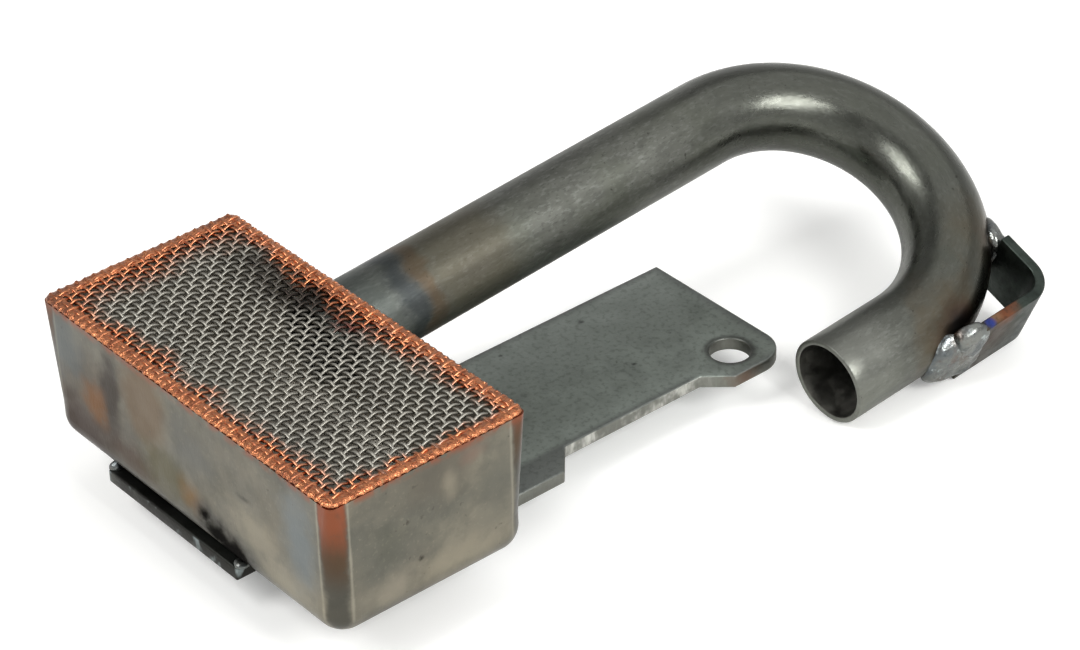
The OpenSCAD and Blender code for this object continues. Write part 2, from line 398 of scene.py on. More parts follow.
@dataclass(frozen=True)
class PressedSheet:
    """Bare pressed sheet steel: a grey satin with gold, brown and blue heat tints, soot, copper-run corners, and
    painted light and shade.
    """

    slot: Slot = Slot.BOX
    steel: str = "#6f6b60"
    # Colour of the soot near the right tack and of the painted shade above the tab.
    soot_and_shade: str = "#171615"
    copper: str = "#8c4e36"
    browned: str = "#54402f"
    # Painted light: the box's inside faces are painted paler than its outside.
    dulled: str = "#43423d"
    inside: str = "#aca89e"
    middle: Point = (-23.3, -96.8, 20.0)
    grain: tuple[Tint, ...] = (
        Tint("#5c5c55", 0.7, Clouds(15, detail=5)),
        Tint("#948d7c", 0.45, Clouds(24, 0.45, 0.7, seed=4)),
        Tint("#8f8979", 0.25, Clouds(0.9, 0.55, 0.7, detail=2, seed=12)),
        Tint("#55554e", 0.35, Clouds(3.6, 0.45, 0.66, detail=4, seed=7)),
    )
    # Heat colours, and painted reflection: the pale grey-beige patches low on the front and right walls stand in for
    # the floor that the walls mirror, and the darker grey ones higher up for the dim air above.
    heats: tuple[Tint, ...] = (
        Tint("#453a31", 0.65, Patch((-58, FRONT, 13), 8, 20, (0.8, 1, 0.9), 4)),
        Tint("#50585a", 0.7, Patch((-64, FRONT, 24), 4, 12, (0.9, 1, 0.9), 4)),
        Tint("#36271f", 0.9, Patch((-60, FRONT, 6), 5, 13, (0.7, 1, 1.1), 4)),
        Tint("#2f261e", 0.9, Patch((-48, FRONT, 20), 2.5, 6, (1, 1, 0.35), 2)),
        Tint("#6b4419", 0.9, Patch((-54, FRONT, 15), 2.5, 8, (1, 1, 0.9), 3)),
        Tint("#463225", 0.75, Patch((-41, FRONT, 8), 1, 9, (0.6, 1, 1), 4)),
        Tint("#665541", 0.85, Patch((-36, FRONT, 24), 5, 9.5, (0.9, 1, 0.7), 2)),
        Tint("#575238", 0.8, Patch((-30, FRONT, 11), 3, 10, (0.7, 1, 1), 4)),
        Tint("#5a5b58", 0.65, Patch((-22, FRONT, 21), 3, 10, (0.7, 1, 0.9), 4)),
        Tint("#7a5a2f", 0.75, Patch((-22, FRONT, 10), 1, 5.5, (0.8, 1, 0.8), 2)),
        Tint("#918a79", 0.65, Patch((0, FRONT, 13), 2, 10, (0.8, 1, 1), 4)),
        Tint("#999281", 0.65, Patch((9, FRONT, 6), 2, 10, (0.7, 1, 1.2), 3)),
        Tint("#6e777b", 0.65, Patch((13, FRONT, 19), 3, 10, (1.1, 1, 0.5), 3)),
        Tint("#5d584f", 0.65, Patch((RIGHT, -95, 28), 3, 12, (1, 0.6, 1), 4)),
        Tint("#7d6357", 0.5, Patch((RIGHT, -86.7, 28.5), 1, 5, (1, 0.8, 1.2), 2)),
        Tint("#5b5b54", 0.5, Patch((RIGHT, -80, 20), 3, 11, (1, 1, 0.5), 4)),
        Tint("#958d7c", 0.5, Patch((RIGHT, -92.4, 24.6), 0.4, 3.5, (1, 1, 0.5), 1.5)),
        Tint("#54554c", 0.55, Patch((RIGHT, -107.6, 19), 2, 9, (1, 1, 1), 4)),
        Tint("#8f8877", 0.6, Patch((RIGHT, -90, 7), 3, 11, (1, 0.5, 1.6), 4)),
        Tint("#928b7c", 0.55, Patch((RIGHT, -107, 7), 2, 9, (1, 0.8, 1.2), 3)),
    )
    # Painted shade in the crease along the bottom of the front wall, above the tab.
    shade_over_tab: tuple[Span, ...] = (
        Span(Along.X, -56, -50),
        Span(Along.X, -1, -8),
        Span(Along.Z, 6, 2),
        Span(Along.Y, -110, -116),
    )
    sooty: tuple[Patch, ...] = (
        Patch((-18, FRONT, 8), 1.0, 5.0, (0.8, 1, 0.8), 2.0),
        Patch((-14, FRONT, 5), 2.5, 8.0, (0.7, 1, 1), 2.5),
        Patch((-9, FRONT, 2), 4.5, 10.0, (0.7, 1, 1), 2.5),
    )
    # Each corner of the box, and the height that copper has run down to.
    corners: tuple[tuple[Point, float], ...] = (
        ((RIGHT, FRONT, 0), 16.0),
        ((RIGHT, -73.5, 0), 24.0),
        ((-70, FRONT, 0), 24.0),
        ((-70, -73.5, 0), 24.0),
    )
    # Painted highlight: pale narrow vertical lines on the box's rounded corners.
    painted_highlight_lines: tuple[Tint, ...] = (
        Tint("#aaa494", 0.45, Patch((19.3, FRONT, 0), 0.1, 0.7, (1, 1, 0), 0.3)),
        Tint("#aaa494", 0.45, Patch((RIGHT, -116.0, 0), 0.1, 0.7, (1, 1, 0), 0.3)),
        Tint("#aaa494", 0.35, Patch((RIGHT, -77.6, 0), 0.1, 0.7, (1, 1, 0), 0.3)),
        Tint("#8d887b", 0.4, Patch((-66.0, FRONT, 0), 0.1, 0.7, (1, 1, 0), 0.3)),
    )
    spots: tuple[Tint, ...] = (
        Tint("#2b2822", 0.85, Patch((RIGHT, -99.8, 10.9), 0.2, 1.3, ragged=0.6, fray=0.9)),
        Tint("#332f29", 0.8, Patch((RIGHT, -102.6, 20.7), 0.2, 1.0, ragged=0.6, fray=0.9)),
        Tint("#332f29", 0.6, Patch((-3.6, FRONT, 19.4), 0.2, 2.4, (0.5, 1, 2), 0.8, 0.9)),
        Tint("#4b4841", 0.5, Clouds(1.6, 0.66, 0.74, detail=2, seed=9)),
    )

    def material(self) -> bpy.types.Material:
        """Makes the sheet's material.

        Returns:
            The material.
        """
        s = Surface("pressed_sheet_steel")
        colour = s.stain(self.steel, self.grain + self.heats)
        # Soot near the right tack, and painted shade in the crease above the tab; both dark and matt.
        soot_and_shade = s.mask(s.mask(*self.shade_over_tab, 0.85), *self.sooty, hold=Hold.ANY)
        colour = s.layer(colour, self.soot_and_shade, 1.0, soot_and_shade)
        runs = Clouds(4, 0.2, 0.5, (1, 1, 0.5), seed=15)
        for place, low in self.corners:
            strip = s.mask(Patch(place, 3.2, 4.6, (1, 1, 0), 0.8, 3.0))
            colour = s.layer(colour, self.dulled, 0.8, strip)
            colour = s.layer(colour, self.browned, 0.75, strip, Span(Along.Z, low - 6, low + 3))
            colour = s.layer(colour, self.copper, 0.75, strip, Span(Along.Z, low + 2, low + 12), runs)
        # Lays the painted highlight lines on the rounded corners.
        colour = s.stain(colour, self.painted_highlight_lines)
        colour = s.layer(colour, self.copper, 0.75, Span(Along.Z, 29.8, 31.6), Clouds(3, 0.35, 0.6, seed=2))
        colour = s.stain(colour, self.spots)
        arm = add(s.tree, "ShaderNodeVectorMath", {0: s.place, 1: self.middle}, operation="SUBTRACT").outputs[0]
        out = add(s.tree, "ShaderNodeVectorMath", {0: arm, 1: s.normal}, operation="DOT_PRODUCT")
        within = s.mask(Span(out.outputs["Value"], -2, -4))
        # Painted light: paints the inside faces paler.
        colour = s.layer(colour, self.inside, 1.0, within)
        s.dent(Clouds(0.5, 0.3, 0.7, (1, 1, 0.4), detail=2), 0.012, 0.6)
        s.dent(Clouds(20, 0.2, 0.8, detail=1, seed=5), 0.4, 0.7)
        rough = s.sheen(0.3, (Clouds(9, 0.3, 0.7, seed=3, crisp=True), 0.12), (within, 0.3))
        return s.metal(colour, rough, soot_and_shade)


@dataclass(frozen=True)
class ScreenWire:
    """Bare drawn steel wire: satin bright on its crowns, copper-wetted near the rim and sooty beside the tube."""

    slot: Slot = Slot.WIRE
    steel: str = "#9a978e"
    copper: str = "#c27a52"
    oxide: str = "#8e4e35"
    stains: tuple[Tint, ...] = (
        Tint("#85837c", 0.6, Clouds(5)),
        Tint("#241a16", 0.92, Patch((-37, -80.5, 32.4), 5, 19, (0.55, 1.4, 1), 6, 4.0)),
        Tint("#6e2a1c", 0.6, Patch((-19, -79.5, 32.4), 2, 9, (0.7, 1, 1), 4, 4.0)),
    )
    wetted: tuple[Span, ...] = (
        Span(Along.X, -57.0, -67.0),
        Span(Along.X, 17.9, 21.4),
        Span(Along.Y, -111.6, -118.1),
        Span(Along.Y, -81.5, -75.5),
    )

    def material(self) -> bpy.types.Material:
        """Makes the wire's material.

        Returns:
            The material.
        """
        s = Surface("bare_steel_wire")
        s.wander(Clouds(7, 0.2, 0.8, detail=4, seed=1, crisp=True), 2.2, Along.X, Along.Y)
        colour = s.stain(self.steel, self.stains)
        wetted = s.mask(*self.wetted, hold=Hold.ANY)
        flushed = s.layer(self.copper, self.oxide, 0.7, Clouds(1.6, 0.45, 0.62, seed=6))
        colour = s.layer(colour, flushed, 0.92, wetted)
        s.dent(Clouds(0.35, 0.3, 0.7), 0.012, 0.5)
        return s.metal(colour, s.sheen(0.48, (Span(wetted, 0, 1), -0.16)))


@dataclass(frozen=True)
class CopperBraze:
    """Furnace-bright copper braze: glossy pink-orange lumps with darker red oxide in the hollows, and painted glints.
    """

    slot: Slot = Slot.BRAZE
    copper: str = "#c68059"
    stains: tuple[Tint, ...] = (
        Tint("#804732", 0.75, Clouds(1.7, 0.45, 0.65, detail=4)),
        # Painted highlight: small pale glints.
        Tint("#e8b584", 0.6, Clouds(0.9, 0.58, 0.7, seed=3)),
        Tint("#6b4a42", 0.55, Clouds(9, 0.52, 0.68, seed=5)),
    )

    def material(self) -> bpy.types.Material:
        """Makes the braze's material.

        Returns:
            The material.
        """
        s = Surface("copper_braze")
        s.dent(Clouds(0.6, 0.3, 0.7, detail=2, seed=2), 0.14, 0.7)
        rough = s.sheen(0.24, (Clouds(1.2, 0.3, 0.7, seed=8, crisp=True), 0.16))
        return s.metal(s.stain(self.copper, self.stains), rough)


# Finer across the tube than along it, as drawing leaves the metal.
DRAWN = (1.0, 0.4, 1.0)


@dataclass(frozen=True)
class DrawnTube:
    """Drawn steel tube: speckled dark satin, burnished to a gloss on the bend, with heat tint beside its welds, painted
    shade on the bend and painted light on the outlet leg.
    """

    slot: Slot = Slot.TUBE
    steel: str = "#656660"
    # Painted shade: a darker copy of the steel on the bend; painted light: a paler copy on the outlet leg.
    painted_bend_shade: str = "#4d4f49"
    outlet: str = "#8a8c85"
    grain: tuple[Tint, ...] = (
        Tint("#464742", 0.35, Clouds(2.4, 0.42, 0.62, DRAWN, 5, unbent=True)),
        Tint("#8b8d88", 0.3, Clouds(0.7, 0.5, 0.66, DRAWN, 3, 3, True)),
        Tint("#464742", 0.45, Clouds(0.5, 0.55, 0.68, DRAWN, 2, 5, True)),
        Tint("#5c5f54", 0.4, Clouds(14, 0.42, 0.65, seed=6)),
    )
    # Start and end along the tube, colour and strength of each heat band beside the rear wall.
    bands: tuple[tuple[float, float, str, float], ...] = (
        (-9, 12, "#4f5654", 0.55),
        (11.5, 16.5, "#2a3036", 0.65),
        (16.5, 20, "#54402b", 0.6),
        (19, 40, "#5a5140", 0.45),
    )
    # Heat colours from the strap's welds, and painted shade where the tube meets the strap.
    scorches_and_shade: tuple[Tint, ...] = ()
    specks: Tint = Tint("#302f2a", 0.6, Clouds(1.1, 0.67, 0.75, detail=2, seed=11))

    def material(self) -> bpy.types.Material:
        """Makes the tube's material from its straightened coordinates.

        Returns:
            The material.
        """
        s = Surface("drawn_steel_tube")
        s.unbent = add(s.tree, "ShaderNodeAttribute", attribute_name="unbent").outputs["Vector"]
        s.along[Along.RUN] = add(s.tree, "ShaderNodeSeparateXYZ", {0: s.unbent}).outputs[1]
        colour = s.stain(self.steel, self.grain)
        # Painted shade on the bend and painted light on the outlet leg.
        colour = s.layer(colour, self.painted_bend_shade, 0.6, Span(Along.RUN, 88, 108), Span(Along.RUN, 214, 198))
        colour = s.layer(colour, self.outlet, 0.35, Span(Along.RUN, 204, 216))
        bent, cut = (Span(Along.RUN, 70, 104), -0.16), (Span(Along.RUN, 180, 205), 0.12)
        rough = s.sheen(0.4, bent, cut, (Clouds(3, 0.3, 0.7, DRAWN, 3, 9, True), 0.1))
        s.wander(Clouds(7, 0.25, 0.75, seed=2, crisp=True), 1.2, Along.RUN)
        for start, end, code, strength in self.bands:
            edge = min((end - start) * 0.4, 5.0)
            opens, closes = Span(Along.RUN, start - edge, start + edge), Span(Along.RUN, end + edge, end - edge)
            colour = s.layer(colour, code, strength, opens, closes)
        # Heat colours and painted shade at the strap, then specks.
        colour = s.stain(colour, (*self.scorches_and_shade, self.specks))
        s.dent(Clouds(0.7, 0.3, 0.7, DRAWN, 3, 5, True), 0.02, 0.6)
        return s.metal(colour, rough)


@dataclass(frozen=True)
class TubeBore:
    """Inside of the tube: unpolished steel with a film of soot, very dark."""

    slot: Slot = Slot.TUBE
    steel: str = "#6a6963"
    film: Tint = Tint("#474642", 1.0, Clouds(5))

    def material(self) -> bpy.types.Material:
        """Makes the bore's material."""
        s = Surface("sooty_tube_bore")
        return s.metal(s.stain(self.steel, (self.film,)), s.sheen(0.5, (Clouds(3, seed=2, crisp=True), 0.2)))


@dataclass(frozen=True)
class PlateSteel:
    """Mill-dark hot-rolled plate: even green-grey, finely speckled, darker at its edges, with paler sheared sides, and
    painted shade in the bolt hole and on the tab.
    """

    slot: Slot = Slot.PLATE
    steel: str = "#899089"
    rolled: str = "#4d4c4c"
    # Colour of the painted shade in and round the bolt hole.
    painted_hole_shade: str = "#3d3c39"
    sheared: str = "#7a7b74"
    bright: str = "#cfcfc8"
    torn: str = "#6b6b64"
    rust: str = "#6d4a34"
    # Colour of the painted shade on the tab.
    soot_and_shade: str = "#1d1b19"
    chipped: str = "#8f9898"
    grain: tuple[Tint, ...] = (
        Tint("#787e77", 0.35, Clouds(13, detail=5)),
        Tint("#5f645e", 0.5, Clouds(1.1, 0.48, 0.66, detail=4, seed=3)),
        Tint("#8f958d", 0.4, Clouds(0.8, 0.55, 0.68, (1, 0.6, 1), seed=13)),
    )
    pits: tuple[Tint, ...] = (
        Tint("#2f302c", 0.85, Patch((-28.5, -16.1, 0), 0.2, 1.2, ragged=0.5, fray=0.8)),
        Tint("#2f302c", 0.85, Patch((-9.5, -18.1, 0), 0.2, 1.1, ragged=0.5, fray=0.8)),
        Tint("#2f302c", 0.8, Patch((-13, -5, 0), 0.2, 0.8, ragged=0.5, fray=0.8)),
        Tint("#2f302c", 0.8, Patch((-30.2, -36.8, 0), 0.2, 0.9, ragged=0.5, fray=0.8)),
        Tint("#474a45", 0.5, Clouds(1.3, 0.68, 0.76, detail=2, seed=8)),
    )

    def material(self) -> bpy.types.Material:
        """Makes the plate's material.

        Returns:
            The material.
        """
        s = Surface("hot_rolled_plate")
        colour = s.stain(self.steel, self.grain)
        lug = s.mask(Span(Along.X, 0.9, 2.9), Span(Along.Y, -10, -14))
        sides = Span(Along.X, -31.5, -34), Span(Along.Y, 7, 10), Span(Along.X, 5, 8)
        colour = s.layer(colour, self.rolled, 0.6, s.mask(*sides, lug, hold=Hold.ANY))
        # Painted shade in the bolt hole and round its rim.
        colour = s.layer(colour, self.painted_hole_shade, 0.75, Patch((0, 0, 0), 4.9, 6.4, (1, 1, 0), 0.5, 2.0))
        colour = s.stain(colour, self.pits)
        edge = s.mask(Span(Along.UP, 0.75, 0.35), Span(Along.UP, -0.75, -0.35))
        colour = s.layer(colour, self.sheared, 0.85, edge)
        notch = Span(Along.Y, -8, -14), Span(Along.Y, -50, -46)
        colour = s.layer(colour, self.bright, 0.85, edge, Clouds(6, 0.42, 0.58, seed=10), *notch)
        colour = s.layer(colour, self.torn, 0.5, edge, Clouds(0.8, 0.35, 0.62, (1, 1, 0.25), 4, 5))
        colour = s.layer(colour, self.rust, 0.55, edge, Patch((8, -3, -1.5), 1, 7, ragged=2, fray=3.0))
        # Painted shade on the tab, in the crease under the box's rounded bottom edge, laid on in patches.
        tab = s.mask(Span(Along.Y, -110, -114))
        colour = s.layer(colour, self.soot_and_shade, 0.9, tab, Clouds(8, 0.2, 0.45, seed=4))
        colour = s.layer(colour, self.chipped, 0.8, tab, edge, Clouds(5, 0.52, 0.62, (1, 1, 0.5), seed=14))
        s.dent(Clouds(0.8, 0.3, 0.7, seed=1), 0.025, 0.6)
        return s.metal(colour, s.sheen(0.4, (Clouds(6, 0.3, 0.7, seed=7, crisp=True), 0.1)))


@dataclass(frozen=True)
class StrapBar:
    """Oil-dark flat bar: green-black, with brown, rust-red and blue heat colours beside its weld."""

    slot: Slot = Slot.STRAP
    steel: str = "#3d443f"
    grain: Tint = Tint("#2c322f", 0.8, Clouds(6, detail=4))
    heats: tuple[Tint, ...] = ()
    specks: Tint = Tint("#2a2c29", 0.4, Clouds(1.0, 0.5, 0.66, seed=4))

    def material(self) -> bpy.types.Material:
        """Makes the strap's material.

        Returns:
            The material.
        """
        s = Surface("oil_dark_flat_bar")
        colour = s.stain(self.steel, (self.grain, *self.heats, self.specks))
        s.dent(Clouds(0.9, 0.3, 0.7, seed=2), 0.025, 0.6)
        return s.metal(colour, s.sheen(0.36, (Clouds(4, 0.3, 0.7, seed=7, crisp=True), 0.14)))


@dataclass(frozen=True)
class WeldBead:
    """Fresh weld metal: a lumpy grey puddle with a blue and violet-brown bloom and bright crests."""

    slot: Slot = Slot.WELD
    silver: str = "#7b7d79"
    bloom: tuple[Tint, ...] = (
        Tint("#565c60", 0.8, Clouds(5, detail=4)),
        Tint("#655750", 0.6, Clouds(4, 0.5, 0.66, seed=3)),
        Tint("#3f4445", 0.5, Clouds(2.2, 0.58, 0.7, seed=9)),
        Tint("#c3cccb", 0.6, Clouds(2.4, 0.6, 0.7, seed=6)),
    )

    def material(self) -> bpy.types.Material:
        """Makes the weld's material.

        Returns:
            The material.
        """
        s = Surface("fresh_weld_metal")
        s.dent(Clouds(1.1, 0.3, 0.7, seed=2), 0.08, 0.6)
        rough = s.sheen(0.22, (Clouds(2, 0.3, 0.7, seed=7, crisp=True), 0.18))
        return s.metal(s.stain(self.silver, self.bloom), rough)


Finish = PressedSheet | ScreenWire | CopperBraze | DrawnTube | TubeBore | PlateSteel | StrapBar | WeldBead


@lru_cache(maxsize=None)
def material_of(finish: Finish) -> bpy.types.Material:
    """Gives a finish's material, made once."""
    return finish.material()


@dataclass
class Bead:
    """A round run of wire or weld metal: its line, its radius along it and whether it closes on itself."""

    line: list[Vector] = field(default_factory=list)
    radii: list[float] = field(default_factory=list)
    closed: bool = False

    def put(self, place: Vector, radius: float) -> None:
        """Adds one point."""
        self.line.append(place)
        self.radii.append(radius)


def draw_beads(name: str, beads: Sequence[Bead], sides: int = 8) -> bmesh.types.BMesh:
    """Draws round runs along their lines.

    Args:
        name: Name of the curve while it exists.
        beads: Runs to draw, in millimetres.
        sides: Sides of each run's section, an even number.

    Returns:
        All the runs in one bmesh, in millimetres.
    """
    curve = bpy.data.curves.new(name, "CURVE")
    curve.dimensions = "3D"
    curve.bevel_depth = 1.0
    curve.bevel_resolution = sides // 2 - 2
    curve.use_fill_caps = True
    for bead in beads:
        spline = curve.splines.new("POLY")
        spline.points.add(len(bead.line) - 1)
        spline.use_cyclic_u = bead.closed
        for point, place, radius in zip(spline.points, bead.line, bead.radii):
            point.co = (*place, 1.0)
            point.radius = radius
    drawn = bpy.data.objects.new(name, curve)
    bpy.context.scene.collection.objects.link(drawn)
    mesh = bpy.data.meshes.new_from_object(drawn.evaluated_get(bpy.context.evaluated_depsgraph_get()))
    bm = bmesh.new()
    bm.from_mesh(mesh)
    bpy.data.objects.remove(drawn)
    bpy.data.curves.remove(curve)
    bpy.data.meshes.remove(mesh)
    return bm


def roughen(bm: bmesh.types.BMesh, size: float, height: float, seed: float = 0.0) -> None:
    """Moves points along their normals by noise, as molten metal sets.

    Args:
        bm: Mesh in millimetres.
        size: Size of the lumps.
        height: Largest move.
        seed: Picks another pattern.
    """
    bm.normal_update()
    for vert in bm.verts:
        vert.co += vert.normal * height * noise.noise(vert.co / size + Vector((seed, seed, seed)))


def finished(bm: bmesh.types.BMesh, name: str, place: Matrix | None = None, sharp: float = 35.0) -> bpy.types.Mesh:
    """Turns a bmesh in millimetres into a finished mesh in the part's frame.

    Args:
        bm: Mesh in millimetres, which is used up.
        name: Name of the mesh.
        place: Where it goes in the part's frame, in millimetres.
        sharp: Angle in degrees past which an edge stays sharp.

    Returns:
        The mesh in metres.
    """
    bmesh.ops.remove_doubles(bm, verts=bm.verts, dist=1e-4)
    bmesh.ops.recalc_face_normals(bm, faces=bm.faces)
    bmesh.ops.transform(bm, matrix=Matrix.Scale(MM, 4) @ (place or Matrix.Identity(4)), verts=bm.verts)
    for face in bm.faces:
        face.smooth = True
    mesh = bpy.data.meshes.new(name)
    bm.to_mesh(mesh)
    bm.free()
    mesh.set_sharp_from_angle(angle=math.radians(sharp))
    return mesh


def show(name: str, mesh: bpy.types.Mesh, finishes: Sequence[Finish], *nodes: str) -> bpy.types.Object:
    """Puts a finished mesh in the scene in place of the solids that it stands for.

    Args:
        name: Name of the piece.
        mesh: Its mesh, in metres and in place.
        finishes: Its finishes, the main one first.
        nodes: CAD nodes that it stands for.

    Returns:
        The piece's object.
    """
    piece = bpy.data.objects.new(name, mesh)
    bpy.context.scene.collection.objects.link(piece)
    for finish in finishes:
        mesh.materials.append(material_of(finish))
    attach(piece, "root")
    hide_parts(*nodes)
    log.info("%s: %d faces, stands for %s", name, len(mesh.polygons), ", ".join(nodes))
    return piece


@dataclass
class StrainerBox:
    """The pressed box, which is the solid itself with a sheet-steel finish."""

    length: float = 93.4
    width: float = 46.6
    rim: float = 31.7
    corner: float = 5.6
    middle: tuple[float, float] = (-23.3, -96.8)
    finish: PressedSheet = PressedSheet()

    def dress(self) -> None:
        """Gives the solid its finish."""
        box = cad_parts["strainer_box"]
        box.data.materials.clear()
        box.data.materials.append(material_of(self.finish))
        log.info("strainer_box: the solid, dressed in %s", self.finish.slot.value)


@dataclass
class WovenScreen:
    """Plain-weave wire cloth laid on the box's rim."""

    box: StrainerBox
    wire: float = 0.63
    pitches: tuple[float, float] = (2.05, 1.93)
    counts: tuple[int, int] = (22, 47)
    set_in: float = 0.55
    coat: float = 3.2
    stray: float = 0.1
    flattened: float = 0.8
    thickened: float = 0.4
    steps: int = 4
    finish: ScreenWire = ScreenWire()

    def strand(self, index: int, across: bool) -> Bead:
        """Draws one crimped wire, flat and thick with braze at its ends.

        Args:
            index: Number of the wire.
            across: True for a wire across the box, False for one along it.

        Returns:
            The wire's run.
        """
        bead = Bead()
        own, other = (self.pitches[1], self.pitches[0]) if across else self.pitches
        count, crossed = (self.counts[1], self.counts[0]) if across else self.counts
        reach = (self.box.width if across else self.box.length) / 2 - self.set_in
        offset = (index - (count - 1) / 2) * own
        phase = math.pi * (index + (1 if across else 0) + (crossed - 1) / 2)
        number = round(2 * reach / other * self.steps)
        for i in range(number + 1):
            run = -reach + 2 * reach * i / number
            wander = self.stray * noise.noise(Vector((run / 9, offset / 3, 5.0 if across else 1.0)))
            braze = max(0.0, 1 - (reach - abs(run)) / self.coat)
            lift = (1 - self.flattened * braze) * self.wire / 2 * math.cos(math.pi * run / other + phase)
            x, y = (offset + wander, run) if across else (run, offset + wander)
            place = Vector((self.box.middle[0] + x, self.box.middle[1] + y, self.box.rim + self.wire + lift))
            bead.put(place, self.wire / 2 * (1 + self.thickened * braze))
        return bead

    def build(self) -> None:
        """Weaves the cloth."""
        wires = [self.strand(i, False) for i in range(self.counts[0])]
        wires += [self.strand(i, True) for i in range(self.counts[1])]
        mesh = finished(draw_beads("wires", wires, sides=8), "woven_screen", sharp=ROUND)
        show("woven_screen", mesh, [self.finish], "screen")


@dataclass
class RimBraze:
    """Flat copper braze that floods the wire ends on the rim and fills the corners below the screen."""

    box: StrainerBox
    screen: WovenScreen
    turn: float = 1.6
    flat: float = 0.5
    fill: float = 23.0
    per_wire: int = 6
    per_corner: int = 8
    uneven: float = 0.12
    # Inset, rise, radius and lump of each run.
    runs: tuple[tuple[float, float, float, float], ...] = (
        (1.35, 0.3, 1.3, 0.06),
        (2.4, 0.5, 0.7, 0.25),
        (0.86, 0.3, 0.72, 0.42),
    )
    finish: CopperBraze = CopperBraze()

    def run(self, inset: float, rise: float, radius: float, lump: float) -> Bead:
        """Draws one run round the rim, swollen at each wire's end.

        Args:
            inset: Distance inside the box's outside.
            rise: Height above the rim.
            radius: Mean radius of the run.
            lump: Share by which it swells at a wire's end.

        Returns:
            The closed run, before it is flattened.
        """
        bead = Bead(closed=True)
        half_l, half_w = self.box.length / 2 - inset, self.box.width / 2 - inset
        turn = max(self.turn - inset / 2, 0.5)
        for quarter in range(4):
            reach, half = (half_l, half_w) if quarter % 2 == 0 else (half_w, half_l)
            pitch, count = self.screen.pitches[quarter % 2], self.screen.counts[quarter % 2]
            spin = Matrix.Rotation(quarter * math.pi / 2, 2)
            straight = half - turn
            number = round(2 * straight / pitch * self.per_wire)
            spots = [(reach, -straight + 2 * straight * i / number) for i in range(number)]
            swells = [math.cos(2 * math.pi * y / pitch + math.pi * (count - 1)) for _, y in spots]
            for i in range(self.per_corner):
                angle = i * math.pi / 2 / self.per_corner
                spots.append((reach - turn + turn * math.cos(angle), straight + turn * math.sin(angle)))
                swells.append(0.0)
            for spot, swell in zip(spots, swells):
                place = spin @ Vector(spot)
                weight = 1 + lump * swell + self.uneven * noise.noise(Vector((*place, rise)) / 2.3)
                bead.put(Vector((*place, rise / self.flat)), radius * weight)
        return bead

    def fill_corners(self, bm: bmesh.types.BMesh) -> None:
        """Fills the four corners between the square screen and the round box below it.

        Args:
            bm: Mesh that takes the fills, about the box's middle on its rim.
        """
        half_l, half_w, corner = self.box.length / 2, self.box.width / 2, self.box.corner
        for end, side in ((1, 1), (1, -1), (-1, 1), (-1, -1)):
            for radius, level in ((self.turn, 0.0), (corner, -self.fill)):
                axis = Vector((end * (half_l - radius), side * (half_w - radius), level))
                first = bm.verts.new(axis + Vector((end * radius, 0, 0)))
                bmesh.ops.spin(bm, geom=[first], cent=axis, axis=(0, 0, end * side), angle=math.pi / 2, steps=12)
            bm.verts.new((end * half_l, side * (half_w - corner), 0))
            bm.verts.new((end * (half_l - corner), side * half_w, 0))
            hull = bmesh.ops.convex_hull(bm, input=[v for v in bm.verts if not v.link_faces])
            for face in (g for g in hull["geom"] if isinstance(g, bmesh.types.BMFace)):
                face.material_index = 1
            bmesh.ops.delete(bm, geom=[v for v in bm.verts if not v.link_faces], context="VERTS")

    def build(self) -> None:
        """Runs the braze round the rim and fills the corners."""
        bm = draw_beads("braze", [self.run(*sizes) for sizes in self.runs], sides=10)
        bmesh.ops.scale(bm, vec=(1, 1, self.flat), verts=bm.verts)
        roughen(bm, size=0.9, height=0.09)
        self.fill_corners(bm)
        bmesh.ops.translate(bm, vec=(*self.box.middle, self.box.rim), verts=bm.verts)
        mesh = finished(bm, "rim_braze_flat", sharp=ROUND)
        show("rim_braze_flat", mesh, [self.finish, self.box.finish], "rim_braze")


